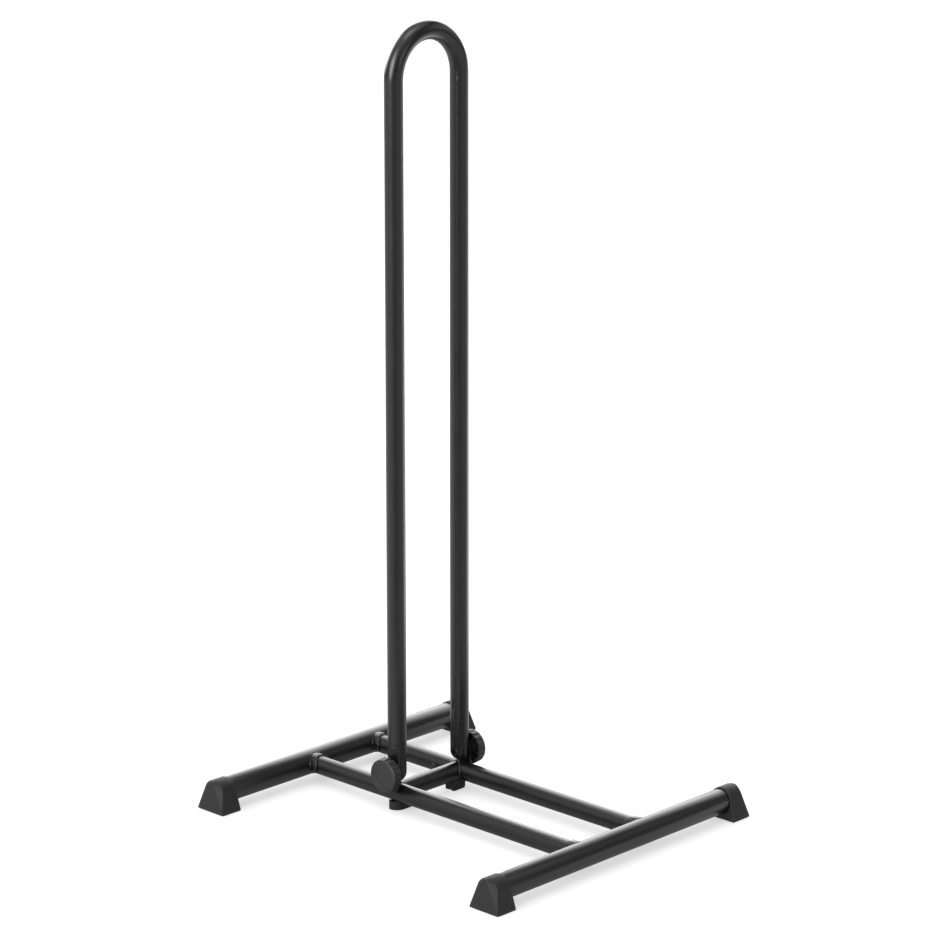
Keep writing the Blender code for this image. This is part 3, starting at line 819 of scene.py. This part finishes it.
class BIKESTAND_OT_hinge_plates(bpy.types.Operator):
    """Cut the two upright ears of the hinge"""
    bl_idname = "bike_stand.hinge_plates"
    bl_label = "Hinge plates"

    def execute(self, context):
        inner = PLATE_LOW.x - LEG_X
        thickness = PLATE_HIGH.x - PLATE_LOW.x
        bottom = PLATE_LOW.z - HINGE.z
        half = (PLATE_HIGH.y - PLATE_LOW.y) / 2
        master = disc("hinge_plate", half, inner, 96)
        pick("VERT", lambda point: point.co.z < -WELD)
        resize((1, 1, 0), (inner, 0, 0))
        bpy.ops.transform.translate(value=(0, 0, bottom))
        pick("FACE")
        extrude(thickness)
        outward()
        pick("EDGE", lambda edge: run(edge, "x") < WELD
             and not every(edge, lambda p: p.z < bottom + WELD))
        bevel(PLATE_EDGE, 3, clamp=True)
        sealed()
        bored(master, TUBE_RADIUS, 4 * half, "Y", (0, 0, BAR_HEIGHT - HINGE.z))
        bored(master, BOLT_RADIUS, 4 * thickness, "X", (inner, 0, 0), 64)
        set_hinge_pair(master, "hinge_plate", "ear", "black_paint", "base")
        return {"FINISHED"}


class BIKESTAND_OT_middle_feet(bpy.types.Operator):
    """Mould the two pads below the hinge"""
    bl_idname = "bike_stand.middle_feet"
    bl_label = "Middle feet"

    def execute(self, context):
        middle = (PAD_LOW + PAD_HIGH) / 2
        size = PAD_HIGH - PAD_LOW
        for side, sign in SIDES.items():
            x = sign * middle.x
            piece = block(f"{side}_middle_foot_pad", (size.x, size.y, PAD_BLANK_HEIGHT),
                          (x, middle.y, PAD_BLANK_HEIGHT / 2))
            edit(piece)
            for front, corner, steps in ((True, PAD_FRONT_CORNER, 14),
                                         (False, PAD_REAR_CORNER, 6)):
                pick("EDGE", lambda edge: run(edge, "z") > size.z / 2
                     and every(edge, lambda p: (p.x - x) * sign > 0 and (p.y < middle.y) == front)
                     and abs(abs(edge.verts[0].co.x - x) - size.x / 2) < WELD)
                bevel(corner, steps, clamp=True)
            pick("EDGE", lambda edge: every(edge, lambda p: p.z < WELD))
            bevel(PAD_EDGE, 3)
            sealed()
            bored(piece, TUBE_RADIUS, 2 * size.x, "Y", (sign * LEG_X, middle.y, BAR_HEIGHT))
            bored(piece, TUBE_RADIUS, 2 * size.x, "X", (x, HINGE.y, BAR_HEIGHT))
            reach, width, depth = PAD_NOTCH
            combined(piece, block("cutter", (2 * reach, width, 2 * depth),
                                  (x - sign * size.x / 2, middle.y, 0)))
            finish_piece(piece, "rubber_feet", "base", f"{side}_middle_foot")
        return {"FINISHED"}


def laid_on(wire, target, axis, sign):
    """Push a ring of edges along an axis until it lies on another piece."""
    return modified(wire, "SHRINKWRAP", target=target, wrap_method="PROJECT",
                    use_positive_direction=sign > 0, use_negative_direction=sign < 0,
                    **{f"use_project_{axis}": True})


def weld_along(piece, radius):
    """Turn a wire of edges into a rippled weld bead on the base."""
    only(piece)
    bpy.ops.object.convert(target="CURVE")
    line = bpy.context.active_object.data
    line.dimensions = "3D"
    line.bevel_depth = radius
    line.bevel_resolution = 4
    line.use_fill_caps = True
    bpy.ops.object.convert(target="MESH")
    piece = bpy.context.active_object
    edit(piece)
    sealed()
    texture = bpy.data.textures.new("weld_ripples", "CLOUDS")
    texture.noise_scale = WELD_RIPPLE_LENGTH
    modified(piece, "DISPLACE", texture=texture, texture_coords="GLOBAL", strength=WELD_RIPPLE,
             mid_level=0.5)
    finish_piece(piece, "black_paint", "base", angle=60.0)


class BIKESTAND_OT_weld_beads(bpy.types.Operator):
    """Lay the weld beads where tubes, plates and saddles meet"""
    bl_idname = "bike_stand.weld_beads"
    bl_label = "Weld beads"

    def execute(self, context):
        sizes = context.scene.bike_stand_sizes
        for corner, sign, toward in CORNERS:
            bar = bpy.data.objects[corner.split("_")[0] + "_crossbar_tube"]
            centre = (sign * LEG_X, toward * (BAR_Y - BAR_RADIUS - MARGIN), BAR_HEIGHT)
            wire = circle(f"{corner}_rail_weld", TUBE_RADIUS + RAIL_WELD_LIFT, "Y", centre, 96)
            weld_along(laid_on(wire, bar, "y", toward), sizes.weld_bead)
            wire = circle(f"{corner}_saddle_weld", SADDLE_RADIUS, "Y", centre, 96)
            edit(wire)
            pick("VERT", lambda point: point.co.z < BAR_HEIGHT - SADDLE_DROP)
            bpy.ops.mesh.delete(type="VERT")
            done()
            weld_along(laid_on(wire, bar, "y", toward), sizes.saddle_bead)
        inner = PLATE_LOW.x - LEG_X
        lower = PLATE_LOW.z - BAR_HEIGHT
        faces = (("inner", inner, math.sqrt(TUBE_RADIUS ** 2 - inner ** 2)),
                 ("outer", math.sqrt(TUBE_RADIUS ** 2 - lower ** 2), lower))
        for side, sign in SIDES.items():
            centre = (sign * (LEG_X - TUBE_RADIUS - MARGIN), HINGE.y, BAR_HEIGHT)
            wire = circle(f"{side}_link_weld", TUBE_RADIUS - LINK_WELD_INSET, "X", centre, 96)
            rail = bpy.data.objects[f"{side}_rail_tube"]
            weld_along(laid_on(wire, rail, "x", sign), sizes.weld_bead)
            for face, out, rise in faces:
                place = (sign * (LEG_X + out), HINGE.y, BAR_HEIGHT + rise)
                wire = plane(f"{side}_plate_{face}_weld", PLATE_HIGH.y - PLATE_LOW.y, place)
                edit(wire)
                pick("VERT")
                resize((0, 1, 1), place)
                bpy.ops.mesh.remove_doubles(threshold=WELD)
                bpy.ops.mesh.subdivide(number_cuts=30)
                done()
                weld_along(wire, sizes.saddle_bead)
        return {"FINISHED"}


# Hoop

def paint_drop():
    """A drop of powder coat that ran a little way down the right leg and set there."""
    drop = ball("paint_drop", DROP_RADIUS, 32, 24)
    edit(drop)
    pick("VERT", lambda point: point.co.z > WELD)
    resize((1.0, *DROP_RUN), (0, 0, 0))
    pick("VERT")
    resize((DROP_HEIGHT / DROP_RADIUS, 1.0, 1.0), (0, 0, 0))
    done()
    drop.rotation_euler = (0.0, 0.0, math.radians(DROP_AZIMUTH))
    drop.location = Vector((LEG_X, HINGE.y, DROP_Z)) + direction(DROP_AZIMUTH) * TUBE_RADIUS
    return settled(drop)


class BIKESTAND_OT_wheel_hoop(bpy.types.Operator):
    """Bend the hoop from one tube and crimp its ends"""
    bl_idname = "bike_stand.wheel_hoop"
    bl_label = "Wheel hoop"

    def execute(self, context):
        sizes = context.scene.bike_stand_sizes
        end = HOOP_LOW.z
        piece = circle("wheel_hoop_tube", TUBE_RADIUS, "Z", (LEG_X, HINGE.y, end),
                       sizes.tube_sides)
        stations = [end, *(end + ring for ring in LEG_RINGS), LEG_MIDDLE_RING, BEND_HEIGHT]
        rises = [after - before for before, after in zip(stations, stations[1:])]
        edit(piece)
        pick("VERT")
        for rise in rises:
            extrude(z=rise)
        bpy.ops.mesh.spin(steps=sizes.bend_steps, angle=math.pi,
                          center=(0, HINGE.y, BEND_HEIGHT), axis=(0, 1, 0))
        for rise in reversed(rises):
            extrude(z=-rise)
        sealed()
        walled(piece, TUBE_WALL)
        for sign in SIDES.values():
            dent_x = LEG_X - TUBE_RADIUS - CRIMP_RADIUS + sizes.crimp
            combined(piece, ball("cutter", CRIMP_RADIUS, 32, 24,
                                 (sign * dent_x, HINGE.y, CRIMP_Z)))
        combined(piece, paint_drop(), "UNION")
        finish_piece(piece, "black_paint", "hoop", "wheel_hoop")
        return {"FINISHED"}


class BIKESTAND_OT_hinge_fittings(bpy.types.Operator):
    """Turn and mill the ball-ended fittings below the hoop's legs"""
    bl_idname = "bike_stand.hinge_fittings"
    bl_label = "Hinge fittings"

    def execute(self, context):
        sizes = context.scene.bike_stand_sizes
        spigot = TUBE_RADIUS - TUBE_WALL - GAP
        flat_top = FLAT_TOP - HINGE.z
        shoulder = SEAM_HEIGHT - HINGE.z
        top = FITTING_HIGH.z - HINGE.z
        master = ball("hinge_fitting", TUBE_RADIUS, sizes.tube_sides, 48)
        edit(master)
        pick("VERT", lambda point: point.co.z > WELD)
        bpy.ops.mesh.delete(type="VERT")
        pick("VERT", lambda point: point.co.z > -WELD)
        extrude(z=flat_top)
        extrude(z=shoulder - flat_top)
        extrude()
        resize((spigot / TUBE_RADIUS, spigot / TUBE_RADIUS, 1), (0, 0, shoulder))
        extrude(z=top - SPIGOT_CHAMFER - shoulder)
        extrude(z=SPIGOT_CHAMFER)
        resize(((spigot - SPIGOT_CHAMFER) / spigot,) * 2 + (1,), (0, 0, top))
        bpy.ops.mesh.edge_face_add()
        sealed()

        # The flat beside the hinge plate, the bolt head's pocket and the bolt's hole
        depth = TUBE_RADIUS - FLAT_X + MARGIN
        drop = flat_top + TUBE_RADIUS + MARGIN
        combined(master, block("cutter", (depth, 4 * TUBE_RADIUS, drop),
                               (FLAT_X + depth / 2, 0, flat_top - drop / 2)))
        pocket_end = BOLT_LOW.x - LEG_X + BOLT_HEAD_LENGTH + GAP
        pocket = pocket_end + TUBE_RADIUS + MARGIN
        bored(master, BOLT_HEAD_RADIUS, pocket, "X", (pocket_end - pocket / 2, 0, 0), 96)
        bored(master, BOLT_RADIUS, 4 * TUBE_RADIUS, "X", (0, 0, 0), 64)
        set_hinge_pair(master, "hinge_fitting", "end", "black_paint", "hoop")
        return {"FINISHED"}


class BIKESTAND_OT_hinge_bolts(bpy.types.Operator):
    """Turn the two cap bolts with their hexagon sockets"""
    bl_idname = "bike_stand.hinge_bolts"
    bl_label = "Hinge bolts"

    def execute(self, context):
        head = BOLT_LOW.x - LEG_X
        tip = BOLT_HIGH.x - LEG_X
        rim = BOLT_HEAD_RADIUS - BOLT_CHAMFER
        master = disc("hinge_bolt", rim, head, 64)
        extrude(BOLT_CHAMFER)
        wider = BOLT_HEAD_RADIUS / rim
        resize((1, wider, wider), (head + BOLT_CHAMFER, 0, 0))
        extrude(BOLT_HEAD_LENGTH - BOLT_CHAMFER)
        bpy.ops.mesh.inset(thickness=BOLT_HEAD_RADIUS - BOLT_RADIUS)
        extrude(tip - BOLT_CHAMFER - head - BOLT_HEAD_LENGTH)
        extrude(BOLT_CHAMFER)
        narrower = (BOLT_RADIUS - BOLT_CHAMFER) / BOLT_RADIUS
        resize((1, narrower, narrower), (tip, 0, 0))
        sealed()
        depth = SOCKET_DEPTH + MARGIN
        hexagon = SOCKET_FLATS / 2 / math.cos(math.pi / 6)
        combined(master, cylinder(hexagon, depth, "X", (head + SOCKET_DEPTH - depth / 2, 0, 0),
                                  sides=6))
        set_hinge_pair(master, "hinge_bolt", "cap", "black_bolts", "hoop")
        return {"FINISHED"}


# Knobs

def fluted_rod(sizes, back, front):
    """A rod with the knob's flutes all round, longer than the knob."""
    points = 12
    crest = FLUTE_FLOOR_RADIUS + sizes.flute_depth
    rod = disc("knob", crest, front + MARGIN, sizes.flutes * points)

    def phase_of(point):
        """How many points a point of the rim is from the nearest crest."""
        turn = math.atan2(point.co.z, point.co.y) / (2 * math.pi)
        part = round(turn * sizes.flutes * points) % points
        return min(part, points - part)

    for phase in range(points // 2 + 1):
        share = math.pi * 2 * phase / points
        factor = 1 - sizes.flute_depth * (1 - math.cos(share)) / 2 / crest
        pick("VERT", lambda point: phase_of(point) == phase)
        resize((1, factor, factor), (front, 0, 0))
    pick("FACE")
    extrude(back - front - 2 * MARGIN)
    sealed()
    return rod


def knob_outside(back, front):
    """The knob's side, narrowing to a rounded front edge, and its face with a sunk middle."""
    steps = 12
    outside = disc("cutter", KNOB_BACK_RADIUS, back, 192)
    before = KNOB_BACK_RADIUS
    place = back
    for step in range(steps + 1):
        angle = math.pi / 2 * step / steps
        radius = KNOB_RADIUS - KNOB_EDGE_WIDTH * (1 - math.cos(angle))
        reach = front - KNOB_EDGE_DEPTH * (1 - math.sin(angle))
        extrude(reach - place)
        resize((1, radius / before, radius / before), (reach, 0, 0))
        before = radius
        place = reach
    outward()
    pick("FACE", lambda face: face.normal.x > 0.99 and face.calc_area() > KNOB_HUB_RADIUS ** 2)
    bpy.ops.mesh.inset(thickness=KNOB_RING_WIDTH)
    bpy.ops.mesh.inset(thickness=KNOB_RING_STEP, depth=-KNOB_RING_STEP)
    done()
    return outside


def knob_hollow(sizes, back, front):
    """The room behind the knob's face, round the hub and between the ribs."""
    end = front - KNOB_FRONT_WALL
    rim = FLUTE_FLOOR_RADIUS - KNOB_RIM_WALL
    depth = end - back + MARGIN
    hollow = cylinder(rim, depth, "X", (end - depth / 2, 0, 0))
    combined(hollow, cylinder(KNOB_HUB_RADIUS, 2 * (end - HUB_X), "X", (end, 0, 0)))
    rib_height = (end - back) * KNOB_RIB_SHARE
    for number in range(sizes.ribs):
        rib = block("rib", (rib_height * 2, KNOB_RIB_WIDTH, rim),
                    (end, 0, (rim + KNOB_HUB_RADIUS) / 2))
        rib.rotation_euler = (2 * math.pi * (number + 0.5) / sizes.ribs, 0, 0)
        combined(hollow, settled(rib))
    return hollow


class BIKESTAND_OT_knobs(bpy.types.Operator):
    """Mould the fluted knobs, hollow and ribbed behind"""
    bl_idname = "bike_stand.knobs"
    bl_label = "Knobs"

    def execute(self, context):
        sizes = context.scene.bike_stand_sizes
        back = KNOB_LOW.x - LEG_X
        front = KNOB_HIGH.x - LEG_X
        master = fluted_rod(sizes, back, front)
        combined(master, knob_outside(back, front), "INTERSECT")
        combined(master, knob_hollow(sizes, back, front))
        pocket = INSERT_HIGH.x - INSERT_LOW.x + GAP + MARGIN
        bored(master, INSERT_RADIUS, pocket, "X", (HUB_X - MARGIN + pocket / 2, 0, 0), 96)
        set_hinge_pair(master, "knob", "moulding", "knob_plastic")
        return {"FINISHED"}


class BIKESTAND_OT_knob_hardware(bpy.types.Operator):
    """Turn the threaded bushes and the washers of the knobs"""
    bl_idname = "bike_stand.knob_hardware"
    bl_label = "Knob hardware"

    def execute(self, context):
        kinds = (("knob_insert", INSERT_LOW.x, INSERT_HIGH.x, INSERT_RADIUS, "insert_brass"),
                 ("knob_washer", WASHER_LOW.x, WASHER_HIGH.x, WASHER_RADIUS, "washer_steel"))
        for node, low, high, radius, slot in kinds:
            length = high - low
            master = disc(node, radius, low - LEG_X, 64)
            extrude(length)
            outward()
            pick("EDGE", lambda edge: run(edge, "x") < WELD)
            bevel(length / 8, 2, clamp=True)
            sealed()
            bored(master, BOLT_RADIUS, 4 * length, "X", (low - LEG_X, 0, 0), 64)
            set_hinge_pair(master, node, "turned", slot)
        return {"FINISHED"}


# Floor, light and camera

# Soft boxes far away: azimuth, elevation, half their width and height in degrees, and strength
SOFT_BOXES = (
    (-172, 20, 18, 25, 10.0),
    (-82, 12, 9, 8, 3.5),
    (-102, 84, 13, 12, 4.0),
    (0, 90, 50, 50, 1.2),
    (128, 25, 32, 26, 0.5),
)
SOFT_BOX_FADE = [(0.0, 1.0), (0.2, 0.9), (0.5, 0.4), (0.8, 0.08), (1.0, 0.0)]

# Panels near the stand: width and height, azimuth, elevation, distance, strength and aim
HEAD = (0.0, HINGE.y, 0.72)
PANELS = {
    "panel_head": ((0.37, 0.3), 95, 24, 0.3, 12.0, HEAD),
    "panel_head_right": ((0.6, 0.45), -25, 27, 0.4, 1.05, HEAD),
    "panel_back": ((3.6, 2.6), 40, 24, 1.3, 4.4, (-0.15, 0.1, 0.02)),
}
PANEL_FADE = [(0.0, 1.0), (0.3, 0.85), (0.6, 0.4), (0.85, 0.08), (1.0, 0.0)]

WHITE = (1.0, 1.0, 1.0, 1.0)
BLACK = (0.0, 0.0, 0.0, 1.0)
PAPER = 0.82  # how white the floor is
ROOM = 0.16  # what the stand mirrors beside the soft boxes
EVEN_LIGHT = 0.3
FLOOR_SIZE = 60.0

# The camera's place, and the ways from the stand to the camera and to the picture's right
CAMERA_PLACE = Vector((-2.44349, -2.34924, 1.27822))
CAMERA_BACK = Vector((-0.69508, -0.66936, 0.26236)).normalized()
CAMERA_RIGHT = Vector((0.6937, -0.7203, 0.0))
CAMERA_LENS = 137.36


def direction(azimuth, elevation=0):
    around = math.radians(azimuth)
    up = math.radians(elevation)
    return Vector((math.cos(around) * math.cos(up), math.sin(around) * math.cos(up), math.sin(up)))


def soft_box(studio, way, azimuth, elevation, wide, high, strength):
    """The glow of one soft box, which fades towards its round edge."""
    centre = direction(azimuth, elevation)
    level = direction(azimuth + 90)
    upright = centre.cross(level)
    across = studio.toward(way, level) * (1 / math.sin(math.radians(wide)))
    along = studio.toward(way, upright) * (1 / math.sin(math.radians(high)))
    front = studio.ramp(studio.toward(way, centre), [(0.0, 0.0), (0.1, 1.0)])
    spread = across * across + along * along
    return studio.ramp(spread * 0.5, SOFT_BOX_FADE) * front * strength


def studio_world():
    """A dim room with soft boxes for reflections, even light, and white for the camera."""
    world = bpy.data.worlds.new("studio")
    world.use_nodes = True
    studio = Nodes(world.node_tree)
    way = studio.node("ShaderNodeTexCoord", output="Generated")
    boxes = 0.0
    for box in SOFT_BOXES:
        boxes = soft_box(studio, way, *box) + boxes
    left = studio.ramp(studio.toward(way, direction(-175, 20)), [(0.0, 0.0), (1.0, 1.0)])
    rear = studio.ramp(studio.toward(way, direction(80, 45)), [(0.3, 0.0), (1.0, 1.0)])
    background = world.node_tree.nodes["Background"]
    background.inputs["Color"].default_value = WHITE
    studio.feed(background.inputs["Strength"],
                studio.by_ray(1.0, boxes + ROOM, left * 0.9 + rear * 0.7 + EVEN_LIGHT))
    return world


def dull_finish(name):
    """A dull surface that can glow."""
    finish = Finish(name)
    finish.set({"Roughness": 0.9, "Specular IOR Level": 0.0, "Emission Color": WHITE})
    return finish


def floor_paper():
    """White paper. Its mirror image in the stand is dim below, and glows far off on the right."""
    paper = dull_finish("floor_paper")
    reach = paper.reach()
    # Painted shade and painted reflection: only in reflections, the floor's colour is darker near
    # the stand and far off, it glows faintly near the stand, and far off it glows brightly, most on
    # the right
    mirrored = paper.ramp(reach, [(0.13, 0.52), (0.25, PAPER), (0.35, PAPER), (0.62, 0.3)])
    near = paper.ramp(reach, [(0.35, 1.0), (0.62, 0.0)])
    below = paper.ramp(reach, [(0.13, 0.1), (0.25, 0.25)])
    way = paper.vector("NORMALIZE", paper.place(), output="Vector")
    right = paper.ramp(paper.toward(way, direction(-5)), [(0.86, 0.0), (0.95, 0.3), (1.0, 1.0)])
    front = paper.ramp(paper.toward(way, direction(-62)), [(0.3, 0.0), (0.9, 1.0)])
    rear = paper.ramp(paper.toward(way, direction(128)), [(0.3, 0.0), (0.9, 1.0)])
    far = right * 3.2 + rear * 0.7 + front * 0.35 + 0.2
    return paper.set({"Base Color": paper.by_ray(PAPER, mirrored, PAPER),
                      "Emission Strength": paper.by_ray(0.5, near * below + (1 - near) * far, 0.0)})


def panel(name, size, azimuth, elevation, distance, strength, aim):
    """A glowing panel that faces the stand, which only its reflections show."""
    way = direction(azimuth, elevation)
    piece = plane(name, 1.0)
    piece.scale = (*size, 1.0)
    piece.rotation_euler = way.to_track_quat("Z", "Y").to_euler()
    piece.location = Vector(aim) + way * distance
    finish = dull_finish(name)
    glow = finish.ramp(finish.reach() * 2, PANEL_FADE) * strength
    piece.data.materials.append(finish.set({"Base Color": BLACK,
                                            "Emission Strength": finish.by_ray(0.0, glow, 0.0)}))
    piece.visible_camera = False
    piece.visible_shadow = False
    piece.visible_diffuse = False


class BIKESTAND_OT_stage(bpy.types.Operator):
    """Lay the floor, light the stand and aim the camera"""
    bl_idname = "bike_stand.stage"
    bl_label = "Stage"

    def execute(self, context):
        scene = context.scene
        scene.view_settings.view_transform = "Standard"

        floor = plane("floor", FLOOR_SIZE)
        floor.data.materials.append(floor_paper())

        scene.world = studio_world()
        for name, values in PANELS.items():
            panel(name, *values)

        bpy.ops.object.camera_add()
        camera = context.active_object
        camera.name = "camera"
        right = (CAMERA_RIGHT - CAMERA_BACK * CAMERA_RIGHT.dot(CAMERA_BACK)).normalized()
        turn = Matrix((right, CAMERA_BACK.cross(right), CAMERA_BACK)).transposed()
        camera.matrix_world = Matrix.Translation(CAMERA_PLACE) @ turn.to_4x4()
        camera.data.lens = CAMERA_LENS
        scene.camera = camera
        return {"FINISHED"}


PIECES = (
    BIKESTAND_OT_crossbars, BIKESTAND_OT_end_feet, BIKESTAND_OT_rails, BIKESTAND_OT_link_tube,
    BIKESTAND_OT_rail_saddles, BIKESTAND_OT_rail_plugs, BIKESTAND_OT_hinge_plates,
    BIKESTAND_OT_middle_feet, BIKESTAND_OT_weld_beads, BIKESTAND_OT_wheel_hoop,
    BIKESTAND_OT_hinge_fittings, BIKESTAND_OT_hinge_bolts, BIKESTAND_OT_knobs,
    BIKESTAND_OT_knob_hardware, BIKESTAND_OT_stage,
)


class BIKESTAND_PT_pieces(bpy.types.Panel):
    """Buttons for the stand's pieces"""
    bl_idname = "BIKESTAND_PT_pieces"
    bl_label = "Folding Bike Stand"
    bl_space_type = "VIEW_3D"
    bl_region_type = "UI"
    bl_category = "Bike Stand"

    def draw(self, context):
        for group in (context.scene.bike_stand_sizes, context.scene.bike_stand_looks):
            column = self.layout.column()
            for name in group.__annotations__:
                column.prop(group, name)
        column = self.layout.column()
        for operator in PIECES:
            column.operator(operator.bl_idname)


CLASSES = (BikeStandSizes, BikeStandLooks, *PIECES, BIKESTAND_PT_pieces)


def register():
    for cls in CLASSES:
        bpy.utils.register_class(cls)
    bpy.types.Scene.bike_stand_sizes = PointerProperty(type=BikeStandSizes)
    bpy.types.Scene.bike_stand_looks = PointerProperty(type=BikeStandLooks)


def unregister():
    del bpy.types.Scene.bike_stand_looks
    del bpy.types.Scene.bike_stand_sizes
    for cls in reversed(CLASSES):
        bpy.utils.unregister_class(cls)


def main():
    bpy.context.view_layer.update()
    register()
    for operator in PIECES:
        group, name = operator.bl_idname.split(".")
        getattr(getattr(bpy.ops, group), name)()


if __name__ == "__main__":
    main()
